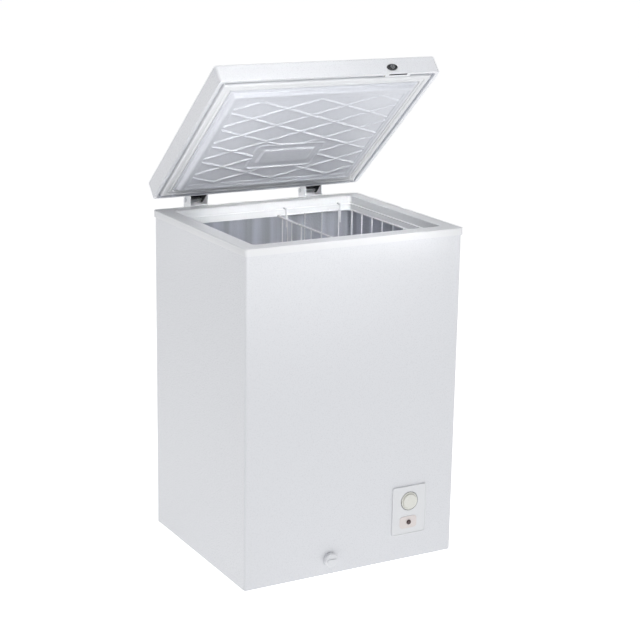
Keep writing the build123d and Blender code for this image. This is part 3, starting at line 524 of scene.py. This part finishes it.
def lining_profile():
    """From the crest outwards: how far out, and how far up from the crest."""
    ridge = [(1.6, 0.15), (3.2, 0.8), (4.8, 2.1), (6.2, 4.1), (7.4, 6.8), (8.1, 8.6)]
    ledge = [(8.7, 9.3), (9.5, 9.5), (13.2, 9.5), (13.9, 9.8), (14.2, 10.5)]
    channel = [(14.6, channel_depth - 0.6), (15.2, channel_depth), (43.8, channel_depth)]
    flange = [(44.5, channel_depth - 0.7), (44.5, 12.4), (44.8, 11.8), (45.4, 11.6), (49.5, 11.6)]
    return ridge + ledge + channel + flange


def past_lock(x, y, out):
    """Draws the flange in to the seal beside the lock, so that the cam has its slot."""
    in_bay = y < 0 and lock_bay[0] < x < lock_bay[1]
    return bay_reach + bay_squeeze * (out - bay_reach) if in_bay and out > bay_reach else out


def make_lining():
    """The lattice panel, its ridge, the tapered plug, the seal's channel and the hidden flange."""
    points, faces, border = lining_panel()
    count = len(border)
    inner = border
    for out, up in lining_profile():
        outer = range(len(points), len(points) + count)
        for k in border:
            x, y, _ = points[k]
            way_x, way_y = outward(x, y)
            far = past_lock(x, y, out)
            points.append((x + way_x * far, y + way_y * far, crest_level + up))
        faces += [
            (inner[i], inner[(i + 1) % count], outer[(i + 1) % count], outer[i]) for i in range(count)
        ]
        inner = outer
    placed = [(x, y + seal_middle_y, z) for x, y, z in points]
    piece = add_mesh("lid_lining", placed, faces, "lid_lining_plastic", to_ajar)
    sheet = piece.modifiers.new("sheet", "SOLIDIFY")
    sheet.thickness = lining_sheet * MM
    sheet.offset = -1.0
    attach(piece, "lid")
    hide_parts("lid_liner")


# ---- Floor, light and camera ----
def make_floor():
    """A wide pale studio floor that glows a little, so that it reads as white."""
    half = 40.0
    floor_z = cad_low.z
    mesh = bpy.data.meshes.new("floor")
    corners = [(x, y, floor_z) for x, y in [(-half, -half), (half, -half), (half, half), (-half, half)]]
    mesh.from_pydata(corners, [], [(0, 1, 2, 3)])
    floor = bpy.data.objects.new("floor", mesh)
    bpy.context.scene.collection.objects.link(floor)
    material = bpy.data.materials.new("studio_floor")
    material.use_nodes = True
    shader = material.node_tree.nodes["Principled BSDF"]
    shader.inputs["Base Color"].default_value = (0.86, 0.86, 0.86, 1.0)
    shader.inputs["Roughness"].default_value = 0.9
    shader.inputs["Specular IOR Level"].default_value = 0.1
    shader.inputs["Emission Color"].default_value = (1.0, 1.0, 1.0, 1.0)
    shader.inputs["Emission Strength"].default_value = 0.81
    mesh.materials.append(material)


def area_light(name, place, target, size, power, spread=180.0):
    light = bpy.data.lights.new(name, "AREA")
    light.shape = "RECTANGLE"
    light.size, light.size_y = size
    light.energy = power
    light.spread = radians(spread)
    lamp = bpy.data.objects.new(name, light)
    bpy.context.scene.collection.objects.link(lamp)
    lamp.location = place
    lamp.rotation_euler = (Vector(target) - Vector(place)).to_track_quat("-Z", "Y").to_euler()


def make_lights():
    world = bpy.data.worlds.new("studio")
    bpy.context.scene.world = world
    world.use_nodes = True
    sky = world.node_tree.nodes["Background"]
    sky.inputs["Color"].default_value = (0.93, 0.95, 1.0, 1.0)
    sky.inputs["Strength"].default_value = 0.24
    centre = (0.0, 0.0, 0.6)
    area_light("key", (0.2, -2.1, 2.35), (0.0, 0.0, 0.9), (1.3, 1.1), 11.5)
    area_light("top", (0.0, -0.2, 3.0), centre, (2.2, 2.2), 26)
    area_light("left", (-1.5, -0.3, 1.9), (-0.27, 0.0, 0.85), (0.9, 0.9), 1.4)
    area_light("mouth", (-0.4, -1.2, 1.5), (0.05, 0.1, 0.8), (0.5, 0.26), 0.42, 10.0)
    area_light("fill", (-0.3, -2.4, 0.5), (-0.06, 0.0, 1.06), (0.6, 0.3), 0.32, 25.0)


def make_camera():
    """Looks down on the freezer's front left corner from standing height."""
    eye = Vector((-1.8402, -3.3584, 1.5622))
    yaw, pitch, roll = radians(29.395), radians(14.834), radians(0.979)
    data = bpy.data.cameras.new("camera")
    data.sensor_width = 36.0
    data.lens = 94.13
    camera = bpy.data.objects.new("camera", data)
    bpy.context.scene.collection.objects.link(camera)
    turn = Matrix.Rotation(-yaw, 4, "Z") @ Matrix.Rotation(pi / 2 - pitch, 4, "X")
    camera.matrix_world = Matrix.Translation(eye) @ turn @ Matrix.Rotation(roll, 4, "Z")
    bpy.context.scene.camera = camera


paint_frame()
make_seal()
make_lining()
make_floor()
make_lights()
make_camera()
bpy.context.scene.view_settings.view_transform = "Standard"
